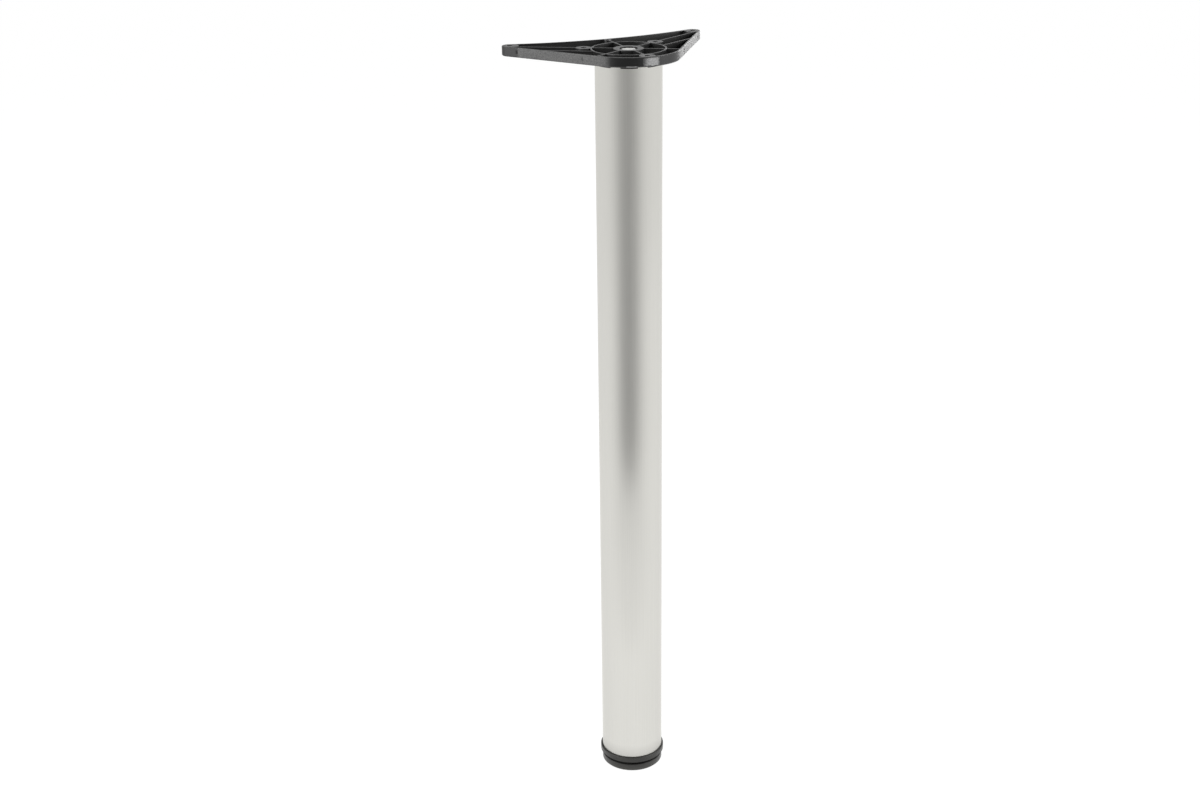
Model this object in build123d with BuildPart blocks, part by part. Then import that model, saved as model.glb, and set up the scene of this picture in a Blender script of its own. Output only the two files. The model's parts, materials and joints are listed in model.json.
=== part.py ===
import os
from math import hypot, radians, tan

from build123d import *

os.makedirs("parts", exist_ok=True)

# Table leg: a round tube with an adjusting foot below and a ribbed mounting plate on top.
# Millimetres. The origin is on the tube's axis at the floor, +Z is up, and the plate's rounded corner points to -Y.

# Tube
tube_length = 700.0
tube_diameter = 60.0
tube_wall = 1.0

# Foot
foot_disc_diameter = 60.0
foot_disc_height = 7.4
foot_disc_bottom_chamfer = 1.2
foot_disc_top_chamfer = 0.5
foot_disc_deck = 3.0
foot_disc_rim = 7.0
foot_hub_diameter = 26.0
foot_neck_diameter = 55.0
foot_gap = 3.4
foot_rib_count = 6
foot_rib_thickness = 2.0
flange_diameter = 63.5
flange_height = 5.2
flange_top_chamfer = 0.6

# Plugs in the two ends of the tube
plug_length = 30.0
plug_skirt = 2.0
plug_deck = 3.0
plug_hub_diameter = 24.0
plug_web_count = 6
plug_web_thickness = 2.0
plug_web_depth = 16.0

# Plate bolt, metric 8 mm, with its washer and nut
bolt_diameter = 8.0
bolt_length = 25.0
bolt_flats = 13.0
bolt_head_height = 5.3
bolt_crown_diameter = 12.3
crown_angle = 30.0
bolt_nut_height = 6.8
bolt_nut_depth = 8.0
washer_diameter = 16.0
washer_thickness = 1.0

# Foot stud, metric 10 mm, with its nut
stud_diameter = 10.0
stud_nut_flats = 16.0
stud_nut_height = 8.4
stud_head_diameter = 18.0
stud_head_height = 3.5
stud_head_recess = 2.5
stud_spare_length = 3.0
foot_travel = 20.0
nut_recess = 1.0

# Mounting plate
plate_height = 8.7
plate_floor = 1.5
plate_wall = 1.6
plate_bottom_chamfer = 0.9
plate_rim_chamfer = 0.3
corner_radius = 46.5
tip_radius = 7.0
tip_hole_spacing = 180.0
tip_y = 58.5
rear_edge_y = 52.5
rib_thickness = 1.4
spoke_count = 6
first_spoke_angle = 30.0
ring_diameter = 66.0
center_boss_diameter = 27.0
screw_circle_diameter = 80.0
screw_count = 3
screw_hole_diameter = 5.0
screw_boss_diameter = 14.0
tip_boss_diameter = 16.0
locating_boss_diameter = 6.5
locating_hole_diameter = 3.0
collar_height = 3.6
collar_wall = 2.0
collar_gap_count = 8
collar_gap_width = 10.0

# Clearances
plug_clearance = 0.1
collar_clearance = 0.15
hexagon_clearance = 0.1
thread_clearance = 0.08
bore_clearance = 0.3
stud_head_clearance = 0.08

# Derived heights
flange_bottom = foot_disc_height + foot_gap
tube_bottom = flange_bottom + flange_height
tube_top = tube_bottom + tube_length
plate_floor_top = tube_top + plate_floor

# Derived radii
tube_radius = tube_diameter / 2
plug_radius = tube_radius - tube_wall - plug_clearance
bolt_radius = bolt_diameter / 2
stud_radius = stud_diameter / 2
screw_radius = screw_circle_diameter / 2
ring_radius = ring_diameter / 2
tip_x = tip_hole_spacing / 2
spoke_reach = hypot(tip_x, tip_y)

# The rear edge is an arc tangent to both tips: its radius follows from the chord and the drop between them
rear_drop = tip_y - (rear_edge_y - tip_radius)
rear_radius = (tip_x**2 + rear_drop**2) / (2 * rear_drop) - tip_radius


def hexagon(flats):
    RegularPolygon(radius=flats / 2, side_count=6, major_radius=False)


# Outline of the mounting plate
with BuildSketch() as plate_outline:
    Circle(corner_radius)
    with Locations((-tip_x, tip_y), (tip_x, tip_y)):
        Circle(tip_radius)
    make_hull()
    with Locations((0, rear_edge_y + rear_radius)):
        Circle(rear_radius, mode=Mode.SUBTRACT)

# Rib pattern of the mounting plate, seen from above
locating_y = rear_edge_y - plate_wall - locating_boss_diameter / 2

with BuildSketch() as plate_ribs:
    Circle(ring_radius + rib_thickness / 2)
    Circle(ring_radius - rib_thickness / 2, mode=Mode.SUBTRACT)
    Circle(center_boss_diameter / 2)
    with PolarLocations(spoke_reach / 2, spoke_count, start_angle=first_spoke_angle):
        Rectangle(spoke_reach, rib_thickness)
    with PolarLocations(screw_radius, screw_count, start_angle=first_spoke_angle):
        Circle(screw_boss_diameter / 2)
    with Locations((0, locating_y)):
        Circle(locating_boss_diameter / 2)
    with Locations((-tip_x, tip_y), (tip_x, tip_y)):
        Circle(tip_boss_diameter / 2)
    for side, angle in ((1, first_spoke_angle), (-1, 180 - first_spoke_angle)):
        with Locations(Location((side * ring_radius, 0, 0), (0, 0, angle))):
            Rectangle(spoke_reach, rib_thickness, align=(Align.MIN, Align.CENTER))
    add(plate_outline.sketch, mode=Mode.INTERSECT)

# Mounting plate: a moulded tray with its ribs up, and the tube's collar below
with BuildPart() as mounting_plate:
    with BuildSketch(Plane.XY.offset(tube_top)):
        add(plate_outline.sketch_local)
    extrude(amount=plate_height)
    chamfer(mounting_plate.edges().group_by(Axis.Z)[0], length=plate_bottom_chamfer)
    chamfer(mounting_plate.edges().group_by(Axis.Z)[-1], length=plate_rim_chamfer)
    with BuildSketch(Plane.XY.offset(plate_floor_top)):
        add(plate_outline.sketch_local)
        offset(amount=-plate_wall, mode=Mode.REPLACE)
        add(plate_ribs.sketch_local, mode=Mode.SUBTRACT)
    extrude(amount=plate_height, mode=Mode.SUBTRACT)
    with BuildSketch(Plane.XY.offset(plate_floor_top)):
        Circle(washer_diameter / 2 + bore_clearance)
        with Locations((0, locating_y)):
            Circle(locating_hole_diameter / 2)
    extrude(amount=plate_height, mode=Mode.SUBTRACT)
    with BuildSketch(Plane.XY.offset(tube_top)):
        Circle(bolt_radius + bore_clearance)
        with PolarLocations(screw_radius, screw_count, start_angle=first_spoke_angle):
            Circle(screw_hole_diameter / 2)
        with Locations((-tip_x, tip_y), (tip_x, tip_y)):
            Circle(screw_hole_diameter / 2)
    extrude(amount=plate_height, mode=Mode.SUBTRACT)
    collar_inner = tube_radius + collar_clearance
    with BuildSketch(Plane.XY.offset(tube_top)):
        Circle(collar_inner + collar_wall)
        Circle(collar_inner, mode=Mode.SUBTRACT)
        with PolarLocations(collar_inner, collar_gap_count):
            Rectangle(4 * collar_wall, collar_gap_width, mode=Mode.SUBTRACT)
    extrude(amount=-collar_height)
mounting_plate.part.label = "mounting_plate"
export_step(mounting_plate.part, "parts/mounting_plate.step")

# Washer and bolt of the plate: the head lies in the central boss, the shank goes down into the plug
washer_top = plate_floor_top + washer_thickness

with BuildPart() as plate_washer:
    with BuildSketch(Plane.XY.offset(plate_floor_top)):
        Circle(washer_diameter / 2)
        Circle(bolt_radius + bore_clearance, mode=Mode.SUBTRACT)
    extrude(amount=washer_thickness)
plate_washer.part.label = "plate_washer"
export_step(plate_washer.part, "parts/plate_washer.step")

with BuildPart() as plate_bolt:
    with BuildSketch(Plane.XY.offset(washer_top)):
        hexagon(bolt_flats)
    extrude(amount=bolt_head_height)
    with Locations((0, 0, washer_top)):
        Cone(
            bolt_crown_diameter / 2 + bolt_head_height / tan(radians(crown_angle)),
            bolt_crown_diameter / 2,
            bolt_head_height,
            align=(Align.CENTER, Align.CENTER, Align.MIN),
            mode=Mode.INTERSECT,
        )
    with BuildSketch(Plane.XY.offset(washer_top)):
        Circle(bolt_radius)
    extrude(amount=-bolt_length)
plate_bolt.part.label = "plate_bolt"
export_step(plate_bolt.part, "parts/plate_bolt.step")

# Leg tube
with BuildPart() as leg_tube:
    with BuildSketch(Plane.XY.offset(tube_bottom)):
        Circle(tube_radius)
        Circle(tube_radius - tube_wall, mode=Mode.SUBTRACT)
    extrude(amount=tube_length)
leg_tube.part.label = "leg_tube"
export_step(leg_tube.part, "parts/leg_tube.step")

# Top plug: deck, skirt, hub and webs, with a nut pocket that opens downwards
plug_bottom = tube_top - plug_length
bolt_nut_seat = tube_top - bolt_nut_depth
hub_length = bolt_nut_depth + bolt_nut_height + nut_recess

with BuildPart() as top_plug:
    with BuildSketch(Plane.XY.offset(tube_top)):
        Circle(plug_radius)
    extrude(amount=-plug_length)
    with BuildSketch(Plane.XY.offset(plug_bottom)):
        Circle(plug_radius - plug_skirt)
    extrude(amount=plug_length - plug_deck, mode=Mode.SUBTRACT)
    with BuildSketch(Plane.XY.offset(tube_top - plug_deck)):
        with PolarLocations((plug_radius - plug_skirt / 2) / 2, plug_web_count):
            Rectangle(plug_radius - plug_skirt / 2, plug_web_thickness)
    extrude(amount=-plug_web_depth)
    with BuildSketch(Plane.XY.offset(tube_top)):
        Circle(plug_hub_diameter / 2)
    extrude(amount=-hub_length)
    with BuildSketch(Plane.XY.offset(bolt_nut_seat)):
        hexagon(bolt_flats + 2 * hexagon_clearance)
    extrude(amount=-plug_length, mode=Mode.SUBTRACT)
    with BuildSketch(Plane.XY.offset(tube_top)):
        Circle(bolt_radius + bore_clearance)
    extrude(amount=-plug_length, mode=Mode.SUBTRACT)
top_plug.part.label = "top_plug"
export_step(top_plug.part, "parts/top_plug.step")

with BuildPart() as top_plug_nut:
    with BuildSketch(Plane.XY.offset(bolt_nut_seat)):
        hexagon(bolt_flats)
        Circle(bolt_radius + thread_clearance, mode=Mode.SUBTRACT)
    extrude(amount=-bolt_nut_height)
top_plug_nut.part.label = "top_plug_nut"
export_step(top_plug_nut.part, "parts/top_plug_nut.step")

# Foot socket: flange under the tube, skirt, hub and webs inside it, with a nut pocket that opens downwards
socket_nut_bottom = flange_bottom + nut_recess
socket_nut_seat = socket_nut_bottom + stud_nut_height

with BuildPart() as foot_socket:
    with BuildSketch(Plane.XY.offset(flange_bottom)):
        Circle(flange_diameter / 2)
    extrude(amount=flange_height)
    chamfer(foot_socket.edges().group_by(Axis.Z)[-1], length=flange_top_chamfer)
    with BuildSketch(Plane.XY.offset(tube_bottom)):
        Circle(plug_radius)
        Circle(plug_radius - plug_skirt, mode=Mode.SUBTRACT)
    extrude(amount=plug_length)
    with BuildSketch(Plane.XY.offset(tube_bottom)):
        with PolarLocations((plug_radius - plug_skirt / 2) / 2, plug_web_count):
            Rectangle(plug_radius - plug_skirt / 2, plug_web_thickness)
    extrude(amount=plug_web_depth)
    with BuildSketch(Plane.XY.offset(tube_bottom)):
        Circle(plug_hub_diameter / 2)
    extrude(amount=plug_length)
    with BuildSketch(Plane.XY.offset(flange_bottom)):
        hexagon(stud_nut_flats + 2 * hexagon_clearance)
    extrude(amount=socket_nut_seat - flange_bottom, mode=Mode.SUBTRACT)
    with BuildSketch(Plane.XY.offset(flange_bottom)):
        Circle(stud_radius + bore_clearance)
    extrude(amount=flange_height + plug_length, mode=Mode.SUBTRACT)
foot_socket.part.label = "foot_socket"
export_step(foot_socket.part, "parts/foot_socket.step")

with BuildPart() as foot_socket_nut:
    with BuildSketch(Plane.XY.offset(socket_nut_bottom)):
        hexagon(stud_nut_flats)
        Circle(stud_radius + thread_clearance, mode=Mode.SUBTRACT)
    extrude(amount=stud_nut_height)
foot_socket_nut.part.label = "foot_socket_nut"
export_step(foot_socket_nut.part, "parts/foot_socket_nut.step")

# Foot stud: round head in the disc, thread up through the socket's nut, still whole in it at the end of its travel
stud_head_top = stud_head_recess + stud_head_height
stud_top = socket_nut_seat + foot_travel + stud_spare_length

with BuildPart() as foot_stud:
    with BuildSketch(Plane.XY.offset(stud_head_recess)):
        Circle(stud_head_diameter / 2)
    extrude(amount=stud_head_height)
    with BuildSketch(Plane.XY.offset(stud_head_top)):
        Circle(stud_radius)
    extrude(amount=stud_top - stud_head_top)
foot_stud.part.label = "foot_stud"
export_step(foot_stud.part, "parts/foot_stud.step")

# Foot disc: shell with a neck that stops against the socket, ribbed below, and the stud's head in its hub
with BuildPart() as foot_disc:
    with BuildSketch():
        Circle(foot_disc_diameter / 2)
    extrude(amount=foot_disc_height)
    chamfer(foot_disc.edges().group_by(Axis.Z)[0], length=foot_disc_bottom_chamfer)
    chamfer(foot_disc.edges().group_by(Axis.Z)[-1], length=foot_disc_top_chamfer)
    with BuildSketch(Plane.XY.offset(foot_disc_height)):
        Circle(foot_neck_diameter / 2)
    extrude(amount=foot_gap)
    with BuildSketch():
        Circle(foot_disc_diameter / 2 - foot_disc_rim)
        Circle(foot_hub_diameter / 2, mode=Mode.SUBTRACT)
        with PolarLocations(foot_disc_diameter / 4, foot_rib_count):
            Rectangle(foot_disc_diameter / 2, foot_rib_thickness, mode=Mode.SUBTRACT)
    extrude(amount=flange_bottom - foot_disc_deck, mode=Mode.SUBTRACT)
    with BuildSketch():
        Circle(stud_head_diameter / 2 + stud_head_clearance)
    extrude(amount=stud_head_top, mode=Mode.SUBTRACT)
    with BuildSketch():
        Circle(stud_radius + thread_clearance)
    extrude(amount=flange_bottom, mode=Mode.SUBTRACT)
foot_disc.part.label = "foot_disc"
export_step(foot_disc.part, "parts/foot_disc.step")
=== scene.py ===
import json
import math

import bpy
from mathutils import Matrix, Vector


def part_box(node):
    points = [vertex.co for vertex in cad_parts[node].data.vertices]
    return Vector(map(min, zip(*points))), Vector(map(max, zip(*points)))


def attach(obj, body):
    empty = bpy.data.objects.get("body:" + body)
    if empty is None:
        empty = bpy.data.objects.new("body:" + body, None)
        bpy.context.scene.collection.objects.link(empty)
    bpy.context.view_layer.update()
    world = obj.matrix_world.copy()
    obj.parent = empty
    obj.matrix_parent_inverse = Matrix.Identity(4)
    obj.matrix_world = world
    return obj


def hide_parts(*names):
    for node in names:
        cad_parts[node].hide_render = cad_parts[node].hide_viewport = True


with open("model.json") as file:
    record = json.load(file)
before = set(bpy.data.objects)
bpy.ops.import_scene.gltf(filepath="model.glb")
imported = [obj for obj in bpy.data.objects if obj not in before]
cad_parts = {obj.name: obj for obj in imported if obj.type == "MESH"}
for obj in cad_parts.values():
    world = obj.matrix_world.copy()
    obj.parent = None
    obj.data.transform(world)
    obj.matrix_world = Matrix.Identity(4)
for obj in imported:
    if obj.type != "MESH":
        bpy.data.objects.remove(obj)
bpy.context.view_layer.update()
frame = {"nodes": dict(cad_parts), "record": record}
cadNodes = frame["nodes"]
mounts = {mount["name"]: mount for mount in frame["record"]["mounts"]}
print("frame loaded,", len(cadNodes), "nodes")


# helpers for node trees

def startMaterial(name):
    made = bpy.data.materials.new(name)
    made.use_nodes = True
    tree = made.node_tree
    return made, tree, tree.nodes["Principled BSDF"]


def addNode(tree, kind, **settings):
    made = tree.nodes.new(kind)
    for key, value in settings.items():
        setattr(made, key, value)
    return made


def feed(tree, source, target):
    # a socket is linked, a number is set
    if hasattr(source, "links"):
        tree.links.new(source, target)
    else:
        target.default_value = source


def mathNode(tree, operation, first, second=0.0):
    made = addNode(tree, "ShaderNodeMath", operation=operation)
    feed(tree, first, made.inputs[0])
    feed(tree, second, made.inputs[1])
    return made.outputs[0]


def product(tree, first, *others):
    for other in others:
        first = mathNode(tree, "MULTIPLY", first, other)
    return first


def mapRange(tree, value, fromLow, fromHigh, toLow, toHigh):
    made = addNode(tree, "ShaderNodeMapRange")
    feed(tree, value, made.inputs["Value"])
    limits = {"From Min": fromLow, "From Max": fromHigh, "To Min": toLow, "To Max": toHigh}
    for key, limit in limits.items():
        feed(tree, limit, made.inputs[key])
    return made.outputs["Result"]


def between(tree, value, low, high, soft):
    # 1 between two limits, fading out across each
    rise = mapRange(tree, value, low - soft, low + soft, 0.0, 1.0)
    fall = mapRange(tree, value, high - soft, high + soft, 1.0, 0.0)
    return product(tree, rise, fall)


def partPoint(tree):
    return addNode(tree, "ShaderNodeTexCoord").outputs["Object"]  # metres, in the part's own frame


def splitPoint(tree, point):
    made = addNode(tree, "ShaderNodeSeparateXYZ")
    tree.links.new(point, made.inputs["Vector"])
    return made.outputs["X"], made.outputs["Y"], made.outputs["Z"]


def noiseOf(tree, vector, scale, detail=2.0, roughness=0.6):
    made = addNode(tree, "ShaderNodeTexNoise")
    tree.links.new(vector, made.inputs["Vector"])
    made.inputs["Scale"].default_value = scale
    made.inputs["Detail"].default_value = detail
    made.inputs["Roughness"].default_value = roughness
    return made.outputs["Fac"]


def stretchNoise(tree, noise, spread, low=0.0, high=1.0):
    # a noise lies round 0.5: this much of it to each side becomes low to high
    return mapRange(tree, noise, 0.5 - spread, 0.5 + spread, low, high)


def mixColours(tree, factor, first, second):
    made = addNode(tree, "ShaderNodeMix", data_type="RGBA")
    feed(tree, factor, made.inputs["Factor"])
    for socket, colour in ((made.inputs[6], first), (made.inputs[7], second)):  # its two colour sockets
        feed(tree, colour if hasattr(colour, "links") else (*colour, 1.0), socket)
    return made.outputs[2]


def addBump(tree, height, strength, distance, below=None):
    made = addNode(tree, "ShaderNodeBump")
    made.inputs["Strength"].default_value = strength
    made.inputs["Distance"].default_value = distance
    tree.links.new(height, made.inputs["Height"])
    if below is not None:
        tree.links.new(below, made.inputs["Normal"])
    return made.outputs["Normal"]


def dress(nodeName, material):
    mesh = cadNodes[nodeName].data
    if not mesh.materials:
        mesh.materials.append(material)
    for index in range(len(mesh.materials)):
        mesh.materials[index] = material


# tube: ground stainless steel, brushed along its length

tubeFinish = {
    "bright": (0.766, 0.758, 0.717),
    "dull": (0.722, 0.714, 0.673),
    "roughness": (0.29, 0.33),
    "anisotropy": 1.0,
    "lineScale": 2400.0,  # brush lines to the metre round the tube
    "lineStretch": 0.004,  # how much slower the pattern runs along the tube
    "lineSpread": 0.20,
    "bumpDistance": 0.00001,
    "bumpStrength": 0.06,
    "footShadeHeight": 0.0136,  # painted shade: the lower end is darkened a little, up from the foot
    "footShadeTo": 0.80,
}


def brushedTube(finish, lowEnd):
    made, tree, shader = startMaterial("brushedTube")
    point = partPoint(tree)
    stretch = addNode(tree, "ShaderNodeMapping")
    stretch.inputs["Scale"].default_value = (1.0, 1.0, finish["lineStretch"])
    tree.links.new(point, stretch.inputs["Vector"])
    lines = noiseOf(tree, stretch.outputs["Vector"], finish["lineScale"], detail=3.0)
    brushed = stretchNoise(tree, lines, finish["lineSpread"])
    colour = mixColours(tree, brushed, finish["dull"], finish["bright"])
    height = splitPoint(tree, point)[2]
    footShadeTop = lowEnd + finish["footShadeHeight"]
    # painted shade: the colour is mixed towards black near the foot
    paintedFootShade = mapRange(tree, height, lowEnd, footShadeTop, 1.0 - finish["footShadeTo"], 0.0)
    tree.links.new(mixColours(tree, paintedFootShade, colour, (0.0, 0.0, 0.0)), shader.inputs["Base Color"])
    rough = stretchNoise(tree, lines, finish["lineSpread"], *finish["roughness"])
    tree.links.new(rough, shader.inputs["Roughness"])
    tangent = addNode(tree, "ShaderNodeTangent", direction_type="RADIAL", axis="Z")
    tree.links.new(tangent.outputs["Tangent"], shader.inputs["Tangent"])
    normal = addBump(tree, lines, finish["bumpStrength"], finish["bumpDistance"])
    tree.links.new(normal, shader.inputs["Normal"])
    shader.inputs["Metallic"].default_value = 1.0
    shader.inputs["Anisotropic"].default_value = finish["anisotropy"]
    return made


dress("leg_tube", brushedTube(tubeFinish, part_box("leg_tube")[0].z))
print("tube finished")


# mounting plate: black moulded plastic, spark-eroded grain on the straight sides, smooth corner and tips

plateLow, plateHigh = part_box("mounting_plate")
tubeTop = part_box("leg_tube")[1].z
tipMount = mounts["plate_tip_screws"]
plateShape = {
    "cornerRadius": -plateLow.y,
    "tipX": tipMount["dims"]["spacing_x_mm"] / 2000.0,
    "tipY": tipMount["pos_m"][1],
    "bottom": tubeTop,
    "top": plateHigh.z,
    "rearEdgeY": 0.0525,  # middle of the hollowed rear edge
    "skin": 0.0012,  # depth of the outer face's finish
}
plateShape["tipRadius"] = plateHigh.x - plateShape["tipX"]
plateFinish = {
    "black": (0.0032, 0.0032, 0.0034),
    "worn": (0.0055, 0.0055, 0.0055),
    "cloudScale": 60.0,
    "cloudSpread": 0.15,
    "smoothRoughness": 0.31,
    "tipRoughness": 0.45,
    "insideRoughness": 0.40,
    "edgeRadius": 0.0004,  # soft edges of ribs, bosses and rim
    "edgeSamples": 6,
    "tray": {
        "black": (0.007, 0.007, 0.007),  # tops of ribs and bosses
        "paintedFillColour": (0.015, 0.015, 0.0147),  # painted fill light: paler further down in the tray
        "fillLow": 0.0009,  # from the plate's bottom
        "fillHigh": 0.0016,  # from its top
        "fillFade": 0.0005,
        "thinnestFill": 0.75,
    },
    "grain": {
        "dark": (0.012, 0.012, 0.012),
        "pale": (0.115, 0.115, 0.113),
        "roughness": 0.44,
        "coarse": 950.0,
        "fine": 3200.0,
        "spread": 0.14,
        "bump": 0.02,
        "bumpDistance": 0.0003,
        "heights": (0.05, 0.30),  # on smooth faces and on the grained panels
        "panelStart": -0.0065,  # the grained panel of a side, from the corner's end
        "startFade": 0.003,
        "panelEnd": 0.0137,  # and from the tip's start
        "endFade": 0.0005,
    },
    "paintedGlint": {  # painted highlight: a pale grainy patch on the corner, standing in for a lamp's reflection
        "x": 0.0015,
        "halfWidth": 0.0069,
        "margin": 0.0010,  # what it leaves free of the wall above and below
        "leftFade": (-0.0011, 0.0049),  # it begins slowly on the left, and ends sooner
        "rightFade": (-0.0014, 0.0010),
        "heightFade": 0.0005,
        "depth": 0.0015,
        "raggedness": 0.004,
        "raggedUp": 0.6,
        "spread": 0.12,
        "thinnest": 0.5,
        "colour": (0.40, 0.40, 0.40),
        "roughness": 0.75,
    },
    "edgeGlint": {  # painted highlight: a short pale mark on the corner's lower edge
        "x": -0.0159,
        "halfWidth": 0.0046,
        "widthFade": 0.0006,
        "low": 0.0001,
        "high": 0.0011,
        "heightFade": 0.0002,
        "frontShare": 0.8,  # of the corner's radius, so that it stays off the sides
        "strength": 0.7,
    },
    "sink": {  # shallow dark sinks over the ribs behind a side wall
        "places": (0.0188, 0.0873),
        "halfWidth": 0.0012,
        "widthFade": 0.0006,
        "below": 0.0010,  # reach from the wall's middle
        "above": 0.0022,
        "heightFade": 0.0008,
        "roughness": 0.90,
    },
}


def sideLine(shape):
    # start, direction and length of the straight right side, between its tangent points
    reach = math.hypot(shape["tipX"], shape["tipY"])
    drop = shape["cornerRadius"] - shape["tipRadius"]
    normal = math.atan2(shape["tipY"], shape["tipX"]) - math.acos(drop / reach)
    start = Vector((math.cos(normal), math.sin(normal))) * shape["cornerRadius"]
    along = Vector((-math.sin(normal), math.cos(normal)))
    return start, along, math.sqrt(reach ** 2 - drop ** 2)


def sideTravel(tree, halfX, y, start, along):
    # how far a point lies along the side, and how far outside its line
    fromX = mathNode(tree, "SUBTRACT", halfX, start.x)
    fromY = mathNode(tree, "SUBTRACT", y, start.y)
    travel = mathNode(tree, "ADD", product(tree, fromX, along.x), product(tree, fromY, along.y))
    outward = mathNode(tree, "SUBTRACT", product(tree, fromX, along.y), product(tree, fromY, along.x))
    return travel, outward


def rearCircle(shape):
    # centre and radius of the rear edge, which is tangent to both tips
    drop = shape["tipY"] - (shape["rearEdgeY"] - shape["tipRadius"])
    radius = (shape["tipX"] ** 2 + drop ** 2) / (2.0 * drop) - shape["tipRadius"]
    return shape["rearEdgeY"] + radius, radius


def distanceFrom(tree, across, deep, centreX, centreY):
    offX = mathNode(tree, "SUBTRACT", across, centreX)
    offY = mathNode(tree, "SUBTRACT", deep, centreY)
    squares = mathNode(tree, "ADD", product(tree, offX, offX), product(tree, offY, offY))
    return mathNode(tree, "SQRT", squares)


def outerFace(tree, shape, halfX, y, travel, onSide, length):
    # 1 on the outer faces of corner, sides, tips and rear edge, 0 in the tray and underneath
    skin = shape["skin"]
    fromAxis = distanceFrom(tree, halfX, y, 0.0, 0.0)
    onCorner = mathNode(tree, "GREATER_THAN", fromAxis, shape["cornerRadius"] - skin)
    onCorner = product(tree, onCorner, mathNode(tree, "LESS_THAN", travel, 0.0))
    fromTip = distanceFrom(tree, halfX, y, shape["tipX"], shape["tipY"])
    onTip = mathNode(tree, "GREATER_THAN", fromTip, shape["tipRadius"] - skin)
    onTip = product(tree, onTip, mathNode(tree, "GREATER_THAN", travel, length))
    rearY, rearRadius = rearCircle(shape)
    onRear = mathNode(tree, "LESS_THAN", distanceFrom(tree, halfX, y, 0.0, rearY), rearRadius + skin)
    ends = mathNode(tree, "MAXIMUM", onCorner, onTip)
    return mathNode(tree, "MAXIMUM", ends, mathNode(tree, "MAXIMUM", onSide, onRear))


# painted highlight on the corner: a pale patch with ragged sides
def paintedGlintPatch(tree, paintedGlint, shape, place, ragged):
    x, y, z = place
    across = mathNode(tree, "ADD", x, ragged)
    up = mathNode(tree, "ADD", z, product(tree, ragged, paintedGlint["raggedUp"]))
    left, right = paintedGlint["x"] - paintedGlint["halfWidth"], paintedGlint["x"] + paintedGlint["halfWidth"]
    rise = mapRange(tree, across, left + paintedGlint["leftFade"][0], left + paintedGlint["leftFade"][1], 0.0, 1.0)
    fall = mapRange(tree, across, right + paintedGlint["rightFade"][0], right + paintedGlint["rightFade"][1], 1.0, 0.0)
    low, high = shape["bottom"] + paintedGlint["margin"], shape["top"] - paintedGlint["margin"]
    tall = between(tree, up, low, high, paintedGlint["heightFade"])
    onWall = mathNode(tree, "LESS_THAN", y, paintedGlint["depth"] - shape["cornerRadius"])
    return product(tree, rise, fall, tall, onWall)


# painted highlight along the corner's lower edge
def paintedEdgeGlint(tree, edgeGlint, shape, place, ragged):
    x, y, z = place
    across = mathNode(tree, "ADD", x, ragged)
    left, right = edgeGlint["x"] - edgeGlint["halfWidth"], edgeGlint["x"] + edgeGlint["halfWidth"]
    wide = between(tree, across, left, right, edgeGlint["widthFade"])
    low, high = shape["bottom"] + edgeGlint["low"], shape["bottom"] + edgeGlint["high"]
    tall = between(tree, z, low, high, edgeGlint["heightFade"])
    inFront = mathNode(tree, "LESS_THAN", y, -edgeGlint["frontShare"] * shape["cornerRadius"])
    return product(tree, wide, tall, inFront, edgeGlint["strength"])


def sinkMarks(tree, sink, shape, travel, z, onSide):
    marks = 0.0
    for middle in sink["places"]:
        low, high = middle - sink["halfWidth"], middle + sink["halfWidth"]
        marks = mathNode(tree, "ADD", between(tree, travel, low, high, sink["widthFade"]), marks)
    half = (shape["bottom"] + shape["top"]) / 2.0
    tall = between(tree, z, half - sink["below"], half + sink["above"], sink["heightFade"])
    return product(tree, marks, tall, onSide)


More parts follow.
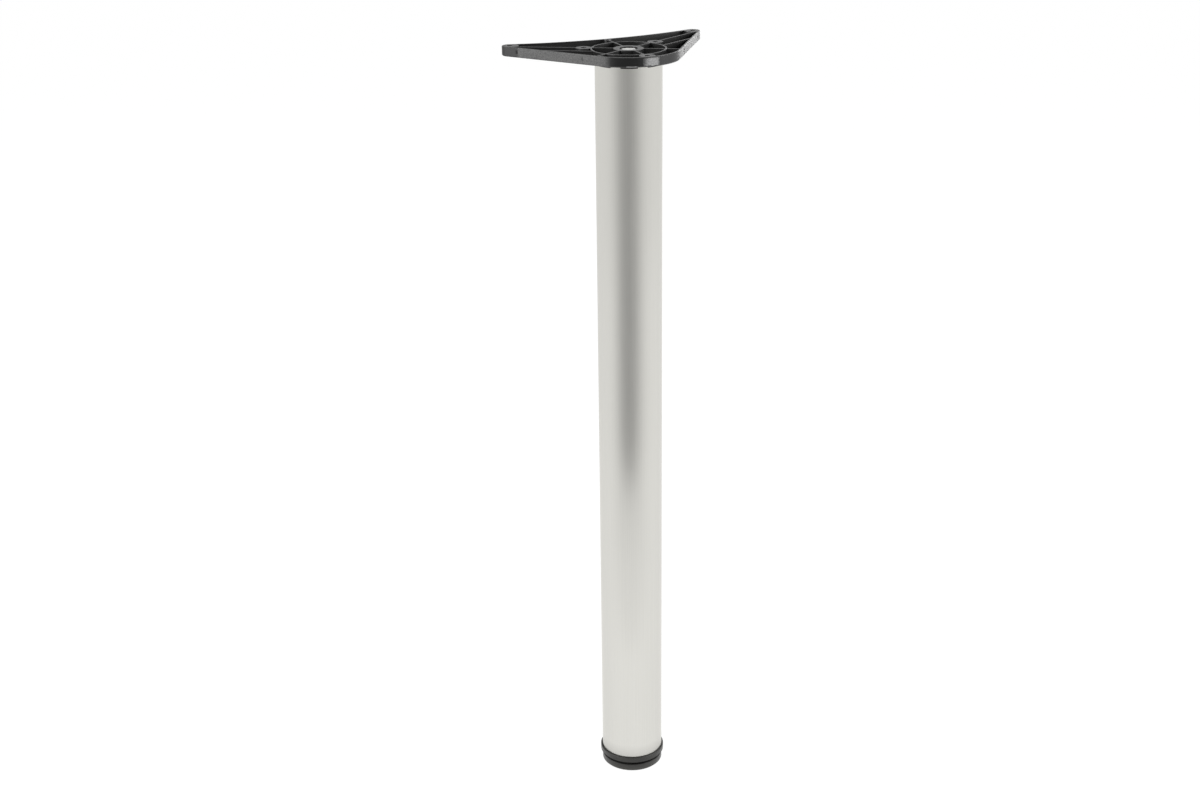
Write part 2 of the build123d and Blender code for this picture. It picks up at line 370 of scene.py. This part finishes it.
def platePlastic(finish, shape):
    made, tree, shader = startMaterial("platePlastic")
    tray, grain, paintedGlint, sink = (finish[key] for key in ("tray", "grain", "paintedGlint", "sink"))
    point = partPoint(tree)
    x, y, z = splitPoint(tree, point)
    halfX = mathNode(tree, "ABSOLUTE", x)
    start, along, length = sideLine(shape)
    travel, outward = sideTravel(tree, halfX, y, start, along)
    coarse = noiseOf(tree, point, grain["coarse"])
    fine = noiseOf(tree, point, grain["fine"])
    grains = product(tree, mathNode(tree, "ADD", coarse, fine), 0.5)
    cloud = noiseOf(tree, point, finish["cloudScale"], detail=3.0, roughness=0.5)

    # where the outer faces, the grained panels, the marks and the painted fill light in the tray are; the
    # pale marks on the corner are painted highlights
    onSide = mathNode(tree, "GREATER_THAN", outward, -shape["skin"])
    outside = outerFace(tree, shape, halfX, y, travel, onSide, length)
    panelStart, panelEnd = grain["panelStart"], length - grain["panelEnd"]
    startFade = grain["startFade"]
    begins = mapRange(tree, travel, panelStart - startFade, panelStart + startFade, 0.0, 1.0)
    ends = mapRange(tree, travel, panelEnd, panelEnd + grain["endFade"], 1.0, 0.0)
    panel = product(tree, begins, ends, onSide)
    ragged = product(tree, mathNode(tree, "SUBTRACT", coarse, 0.5), paintedGlint["raggedness"])
    # painted highlights: the pale patch on the corner and the pale mark on its lower edge
    patch = paintedGlintPatch(tree, paintedGlint, shape, (x, y, z), ragged)
    patch = mathNode(tree, "MAXIMUM", patch, paintedEdgeGlint(tree, finish["edgeGlint"], shape, (x, y, z), ragged))
    sunk = sinkMarks(tree, sink, shape, travel, z, onSide)
    # painted fill light: the tray below the rib and boss tops gets a paler colour, in clouds
    fillLow, fillHigh = shape["bottom"] + tray["fillLow"], shape["top"] - tray["fillHigh"]
    inTray = between(tree, z, fillLow, fillHigh, tray["fillFade"])
    paintedFill = product(tree, inTray, stretchNoise(tree, cloud, finish["cloudSpread"], tray["thinnestFill"], 1.0))

    clouded = stretchNoise(tree, cloud, finish["cloudSpread"])
    blackOutside = mixColours(tree, clouded, finish["black"], finish["worn"])
    blackInside = mixColours(tree, paintedFill, tray["black"], tray["paintedFillColour"])
    black = mixColours(tree, outside, blackInside, blackOutside)
    grained = mixColours(tree, stretchNoise(tree, grains, grain["spread"]), grain["dark"], grain["pale"])
    colour = mixColours(tree, panel, black, grained)
    speckled = product(tree, patch, stretchNoise(tree, grains, paintedGlint["spread"], paintedGlint["thinnest"], 1.0))
    tree.links.new(mixColours(tree, speckled, colour, paintedGlint["colour"]), shader.inputs["Base Color"])

    rough = mapRange(tree, ends, 1.0, 0.0, finish["smoothRoughness"], finish["tipRoughness"])
    rough = mapRange(tree, outside, 0.0, 1.0, finish["insideRoughness"], rough)
    rough = mapRange(tree, panel, 0.0, 1.0, rough, grain["roughness"])
    rough = mapRange(tree, patch, 0.0, 1.0, rough, paintedGlint["roughness"])
    tree.links.new(mapRange(tree, sunk, 0.0, 1.0, rough, sink["roughness"]), shader.inputs["Roughness"])

    height = product(tree, grains, mapRange(tree, panel, 0.0, 1.0, *grain["heights"]))
    edges = addNode(tree, "ShaderNodeBevel", samples=finish["edgeSamples"])
    edges.inputs["Radius"].default_value = finish["edgeRadius"]
    normal = addBump(tree, height, grain["bump"], grain["bumpDistance"], edges.outputs["Normal"])
    tree.links.new(normal, shader.inputs["Normal"])
    return made


dress("mounting_plate", platePlastic(plateFinish, plateShape))
print("plate finished")


# foot and plugs: dark moulded plastic

footFinish = {
    "dark": (0.0158, 0.0153, 0.0135),
    "light": (0.0230, 0.0225, 0.0195),
    "cloudScale": 90.0,
    "cloudSpread": 0.15,
    "roughness": (0.28, 0.38),
    "grain": 900.0,
    "grainSpread": 0.20,
    "grainBump": 0.06,
    "bumpDistance": 0.0003,
    "grooveLow": 0.0070,  # the groove between flange and disc is left matt and darkened with painted shade
    "grooveHigh": 0.0112,
    "grooveFade": 0.0003,
    "paintedGrooveShade": (0.006, 0.0058, 0.0050),
    "grooveRoughness": 0.90,
    "flangeEdge": 0.0153,  # and partly so the flange's upper edge round the tube, painted shade where it meets the tube
    "flangeEdgeFade": 0.0002,
    "flangeEdgeShade": 0.45,
    "reflectionHigh": 0.0062,  # painted reflection: the disc pales towards its lower edge, where the white floor's reflection is painted
    "reflectionLow": 0.0010,
    "paintedFloorReflection": (0.044, 0.043, 0.038),
}
plugFinish = {
    "dark": (0.016, 0.016, 0.016),
    "light": (0.026, 0.026, 0.026),
    "cloudScale": 90.0,
    "cloudSpread": 0.15,
    "roughness": (0.45, 0.55),
    "grain": 700.0,
    "grainSpread": 0.20,
    "grainBump": 0.12,
    "bumpDistance": 0.0003,
}


def footMarks(tree, finish, z, colour, rough):
    # the disc's painted reflection, and painted shade in the matt groove and on the flange's edge
    # painted reflection of the floor, paler towards the disc's lower edge
    paintedReflectionShare = mapRange(tree, z, finish["reflectionLow"], finish["reflectionHigh"], 1.0, 0.0)
    colour = mixColours(tree, paintedReflectionShare, colour, finish["paintedFloorReflection"])
    groove = between(tree, z, finish["grooveLow"], finish["grooveHigh"], finish["grooveFade"])
    low = finish["flangeEdge"] - finish["flangeEdgeFade"]
    high = finish["flangeEdge"] + finish["flangeEdgeFade"]
    # painted shade: the groove and the flange's upper edge are mixed towards a darker colour
    matt = mathNode(tree, "MAXIMUM", groove, mapRange(tree, z, low, high, 0.0, finish["flangeEdgeShade"]))
    colour = mixColours(tree, matt, colour, finish["paintedGrooveShade"])
    return colour, mapRange(tree, matt, 0.0, 1.0, rough, finish["grooveRoughness"])


def mouldedPlastic(name, finish):
    made, tree, shader = startMaterial(name)
    point = partPoint(tree)
    cloud = noiseOf(tree, point, finish["cloudScale"], detail=3.0, roughness=0.5)
    grain = noiseOf(tree, point, finish["grain"])
    clouded = stretchNoise(tree, cloud, finish["cloudSpread"])
    colour = mixColours(tree, clouded, finish["dark"], finish["light"])
    rough = stretchNoise(tree, grain, finish["grainSpread"], *finish["roughness"])
    if "paintedGrooveShade" in finish:
        colour, rough = footMarks(tree, finish, splitPoint(tree, point)[2], colour, rough)
    tree.links.new(colour, shader.inputs["Base Color"])
    tree.links.new(rough, shader.inputs["Roughness"])
    normal = addBump(tree, grain, finish["grainBump"], finish["bumpDistance"])
    tree.links.new(normal, shader.inputs["Normal"])
    return made


footPlastic = mouldedPlastic("footPlastic", footFinish)
plugPlastic = mouldedPlastic("plugPlastic", plugFinish)
for footNode in ("foot_socket", "foot_disc"):
    dress(footNode, footPlastic)
dress("top_plug", plugPlastic)
print("foot and plug finished")


# bolt, washer, nuts and stud: bright zinc on steel

zincFinish = {
    "pale": (0.80, 0.80, 0.775),
    "grey": (0.58, 0.58, 0.565),
    "spangle": 420.0,
    "spangleSpread": 0.15,
    "roughness": (0.26, 0.42),
    "roughnessSpread": 0.20,
    "scratches": 4000.0,
    "scratchBump": 0.08,
    "scratchDepth": 0.00005,
}


def brightZinc(finish):
    made, tree, shader = startMaterial("brightZinc")
    point = partPoint(tree)
    spangle = noiseOf(tree, point, finish["spangle"], detail=3.0)
    scratches = noiseOf(tree, point, finish["scratches"])
    clouded = stretchNoise(tree, spangle, finish["spangleSpread"])
    tree.links.new(mixColours(tree, clouded, finish["grey"], finish["pale"]), shader.inputs["Base Color"])
    rough = stretchNoise(tree, spangle, finish["roughnessSpread"], *finish["roughness"])
    tree.links.new(rough, shader.inputs["Roughness"])
    normal = addBump(tree, scratches, finish["scratchBump"], finish["scratchDepth"])
    tree.links.new(normal, shader.inputs["Normal"])
    shader.inputs["Metallic"].default_value = 1.0
    return made


zinc = brightZinc(zincFinish)
for steelNode in ("plate_washer", "plate_bolt", "top_plug_nut", "foot_socket_nut", "foot_stud"):
    dress(steelNode, zinc)

studLow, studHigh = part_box("foot_stud")
studShape = {
    "bottom": studLow.z,
    "top": studHigh.z,
    "headRadius": studHigh.x,
    "headHeight": 0.0035,
    "headEdge": 0.0004,
    "threadRadius": 0.005,
    "pitch": 0.0015,
    "threadDepth": 0.00092,
    "crestFlat": 0.125,  # shares of the way from a crest to a root
    "rootStart": 0.75,
    "endChamfer": 0.001,
    "plainNeck": 0.00075,  # plain between head and thread
    "runOut": 0.0015,  # over which the thread then grows
    "rowsToPitch": 10,
    "columns": 48,
    "sharpAngle": 35.0,
}


def upToOne(share):
    return min(1.0, max(0.0, share))


def threadLift(phase, shape):
    fromCrest = abs(phase % 1.0 - 0.5) * 2.0  # 0 on the crest, 1 in the root
    return upToOne((shape["rootStart"] - fromCrest) / (shape["rootStart"] - shape["crestFlat"]))


def studRings(shape):
    # each ring is a radius and a height for every column, from the head's underside up
    columns = shape["columns"]
    headTop = shape["bottom"] + shape["headHeight"]
    root = shape["threadRadius"] - shape["threadDepth"]
    edge = shape["headEdge"]
    rings = []
    for radius, height in (
        (shape["headRadius"] - edge, shape["bottom"]),
        (shape["headRadius"], shape["bottom"] + edge),
        (shape["headRadius"], headTop - edge),
        (shape["headRadius"] - edge, headTop),
        (root, headTop),
    ):
        rings.append([(radius, height)] * columns)
    step = shape["pitch"] / shape["rowsToPitch"]
    rows = round((shape["top"] - headTop) / step)
    for row in range(1, rows + 1):
        height = headTop + (shape["top"] - headTop) * row / rows
        grown = upToOne((height - headTop - shape["plainNeck"]) / shape["runOut"])
        limit = shape["threadRadius"] - max(0.0, height - (shape["top"] - shape["endChamfer"]))
        ring = []
        for column in range(columns):
            lift = threadLift(height / shape["pitch"] - column / columns, shape) * grown
            ring.append((min(limit, root + shape["threadDepth"] * lift), height))
        rings.append(ring)
    return rings


def threadedStud(shape, material):
    columns = shape["columns"]
    rings = studRings(shape)
    points = []
    for ring in rings:
        for column, (radius, height) in enumerate(ring):
            turn = 2.0 * math.pi * column / columns
            points.append((radius * math.cos(turn), radius * math.sin(turn), height))
    faces = []
    for level in range(len(rings) - 1):
        for column in range(columns):
            beside = (column + 1) % columns
            low, high = level * columns, (level + 1) * columns
            faces.append((low + column, low + beside, high + beside, high + column))
    faces.append(tuple(reversed(range(columns))))
    faces.append(tuple(range((len(rings) - 1) * columns, len(rings) * columns)))
    mesh = bpy.data.meshes.new("foot_stud_thread")
    mesh.from_pydata(points, [], faces)
    mesh.shade_smooth()
    mesh.set_sharp_from_angle(angle=math.radians(shape["sharpAngle"]))
    made = bpy.data.objects.new("foot_stud_thread", mesh)
    bpy.context.scene.collection.objects.link(made)
    made.data.materials.append(material)
    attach(made, "foot_stud")
    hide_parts("foot_stud")
    return made


threadedStud(studShape, zinc)
print("fasteners finished")


# camera at the photograph's place

cameraPlace = {
    "azimuth": -23.442,
    "reach": 1.55303,
    "height": 1.00116,
    "heading": -22.381,
    "tilt": 68.600,
    "roll": -0.682,
    "lens": 52.758,
    "sensor": 36.0,
}


def roundAxis(azimuth, reach, height):
    turn = math.radians(azimuth)
    return Vector((math.sin(turn) * reach, -math.cos(turn) * reach, height))


def photoCamera(place):
    data = bpy.data.cameras.new("photoCamera")
    data.lens = place["lens"]
    data.sensor_fit = "HORIZONTAL"
    data.sensor_width = place["sensor"]
    made = bpy.data.objects.new("photoCamera", data)
    bpy.context.scene.collection.objects.link(made)
    turns = ((place["heading"], "Z"), (place["tilt"], "X"), (place["roll"], "Z"))
    matrix = Matrix.Translation(roundAxis(place["azimuth"], place["reach"], place["height"]))
    for angle, axis in turns:
        matrix = matrix @ Matrix.Rotation(math.radians(angle), 4, axis)
    made.matrix_world = matrix
    bpy.context.scene.camera = made
    return made


photoCamera(cameraPlace)
print("camera placed")


# studio: white surroundings, a floor under the foot, dim cards in front and behind, soft lamps

studio = {
    "ambient": 0.40,
    "floorSize": 12.0,
    "floorColour": (0.80, 0.80, 0.80),
    "floorWhite": 0.88,  # share of plain white where the floor is seen, the rest keeps the shadow
    "whiteGlow": 1.09,
    "notUnderLamps": ("leg_tube",),  # it would mirror them: it shows the white room and the cards
}
cards = {  # bearings are counted from the camera's, round the leg
    "frontCard": {
        "bearing": -4.0, "reach": 0.735, "halfWidth": 0.497, "height": 0.85, "grey": 0.30,
        "apronStart": 0.27, "apronGrey": 0.83, "apronLift": 0.0005,
    },
    "backCard": {
        "bearing": 184.0, "reach": 0.735, "halfWidth": 0.32, "height": 0.85, "grey": 0.42,
        "apronStart": 0.27, "apronGrey": 0.84, "apronLift": 0.0005,
    },
}
lamps = {
    "leftSoftbox": {
        "bearing": -62.0, "reach": 1.8, "height": 1.15, "aim": 0.55, "width": 0.8, "tall": 0.9, "power": 27.5,
    },
    "rightSoftbox": {
        "bearing": 78.0, "reach": 1.8, "height": 1.15, "aim": 0.55, "width": 1.1, "tall": 0.9, "power": 28.5,
    },
    "backPanel": {
        "bearing": 160.0, "reach": 2.7, "height": 1.09, "aim": 1.09, "width": 1.0, "tall": 1.7, "power": 28.0,
    },
}


def seenRays(tree):
    path = addNode(tree, "ShaderNodeLightPath")
    glossy, transmitted = path.outputs["Is Glossy Ray"], path.outputs["Is Transmission Ray"]
    return mathNode(
        tree, "MAXIMUM", path.outputs["Is Camera Ray"], mathNode(tree, "MAXIMUM", glossy, transmitted)
    )


def mixShaders(tree, factor, first, second):
    made = addNode(tree, "ShaderNodeMixShader")
    for socket, source in zip(made.inputs, (factor, first.outputs[0], second.outputs[0])):
        tree.links.new(source, socket)
    return made


def whiteWorld(ambient):
    world = bpy.data.worlds.new("whiteWorld")
    world.use_nodes = True
    tree = world.node_tree
    lit = tree.nodes["Background"]
    lit.inputs["Strength"].default_value = ambient
    seen = addNode(tree, "ShaderNodeBackground")
    for background in (lit, seen):
        background.inputs["Color"].default_value = (1.0, 1.0, 1.0, 1.0)
    both = mixShaders(tree, seenRays(tree), lit, seen)
    tree.links.new(both.outputs[0], tree.nodes["World Output"].inputs["Surface"])
    bpy.context.scene.world = world


def stageSheet(name, corners, material):
    mesh = bpy.data.meshes.new(name)
    mesh.from_pydata(corners, [], [(0, 1, 2, 3)])
    made = bpy.data.objects.new(name, mesh)
    bpy.context.scene.collection.objects.link(made)
    made.data.materials.append(material)
    return made


def paleFloor(setup):
    made, tree, shader = startMaterial("paleFloor")
    tree.nodes.remove(shader)
    matt = addNode(tree, "ShaderNodeBsdfDiffuse")
    matt.inputs["Color"].default_value = (*setup["floorColour"], 1.0)
    white = addNode(tree, "ShaderNodeEmission")
    white.inputs["Strength"].default_value = setup["whiteGlow"]
    both = mixShaders(tree, product(tree, seenRays(tree), setup["floorWhite"]), matt, white)
    clear = addNode(tree, "ShaderNodeBsdfTransparent")
    fromBelow = addNode(tree, "ShaderNodeNewGeometry").outputs["Backfacing"]
    oneSided = mixShaders(tree, fromBelow, both, clear)  # from below, the floor lets the leg be seen
    tree.links.new(oneSided.outputs[0], tree.nodes["Material Output"].inputs["Surface"])
    half = setup["floorSize"] / 2.0
    corners = [(-half, -half, 0.0), (half, -half, 0.0), (half, half, 0.0), (-half, half, 0.0)]
    floor = stageSheet("floor", corners, made)
    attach(floor, "foot_disc")  # the leg stands on its foot, so the floor goes down with it


def reflectedSheet(name, corners, shade):
    # seen in reflections alone; shade gives its brightness, which may differ from point to point
    made, tree, shader = startMaterial(name)
    tree.nodes.remove(shader)
    glow = addNode(tree, "ShaderNodeEmission")
    feed(tree, shade(tree), glow.inputs["Strength"])
    tree.links.new(glow.outputs[0], tree.nodes["Material Output"].inputs["Surface"])
    sheet = stageSheet(name, corners, made)
    sheet.visible_camera = False
    sheet.visible_diffuse = False
    sheet.visible_transmission = False
    sheet.visible_shadow = False


def dimCard(name, setup, place):
    bearing = place["azimuth"] + setup["bearing"]
    outward = roundAxis(bearing, 1.0, 0.0)
    aside = roundAxis(bearing + 90.0, setup["halfWidth"], 0.0)
    up = Vector((0.0, 0.0, setup["height"]))
    lift = Vector((0.0, 0.0, setup["apronLift"]))
    low = outward * setup["reach"]
    near = outward * setup["apronStart"] + lift
    far = low + lift

    def cardShade(tree):
        return setup["grey"]

    def apronShade(tree):
        # painted shadow of the card: the floor, as seen in reflections, gets dimmer towards the card
        travel = addNode(tree, "ShaderNodeVectorMath", operation="DOT_PRODUCT")
        tree.links.new(partPoint(tree), travel.inputs[0])
        travel.inputs[1].default_value = outward
        limits = (setup["apronStart"], setup["reach"])
        return mapRange(tree, travel.outputs["Value"], *limits, 1.0, setup["apronGrey"])

    card = [low - aside, low + aside, low + aside + up, low - aside + up]
    apron = [near - aside, near + aside, far + aside, far - aside]
    reflectedSheet(name, card, cardShade)
    reflectedSheet(name + "Apron", apron, apronShade)


def lampReceivers(leftOutNodes):
    made = bpy.data.collections.new("lampReceivers")
    for nodeName in leftOutNodes:
        made.objects.link(cadNodes[nodeName])
    for leftOut in made.collection_objects:
        leftOut.light_linking.link_state = "EXCLUDE"
    return made


def softbox(name, lamp, place, receivers):
    data = bpy.data.lights.new(name, "AREA")
    data.shape = "RECTANGLE"
    data.size = lamp["width"]
    data.size_y = lamp["tall"]
    data.energy = lamp["power"]
    made = bpy.data.objects.new(name, data)
    bpy.context.scene.collection.objects.link(made)
    made.location = roundAxis(place["azimuth"] + lamp["bearing"], lamp["reach"], lamp["height"])
    aim = Vector((0.0, 0.0, lamp["aim"])) - made.location
    made.rotation_mode = "QUATERNION"
    made.rotation_quaternion = aim.to_track_quat("-Z", "Y")
    made.visible_camera = False
    made.light_linking.receiver_collection = receivers


whiteWorld(studio["ambient"])
paleFloor(studio)
for cardName, cardValues in cards.items():
    dimCard(cardName, cardValues, cameraPlace)
underLamps = lampReceivers(studio["notUnderLamps"])
for lampName, lampValues in lamps.items():
    softbox(lampName, lampValues, cameraPlace, underLamps)
bpy.context.scene.view_settings.view_transform = "Standard"
print("studio set")
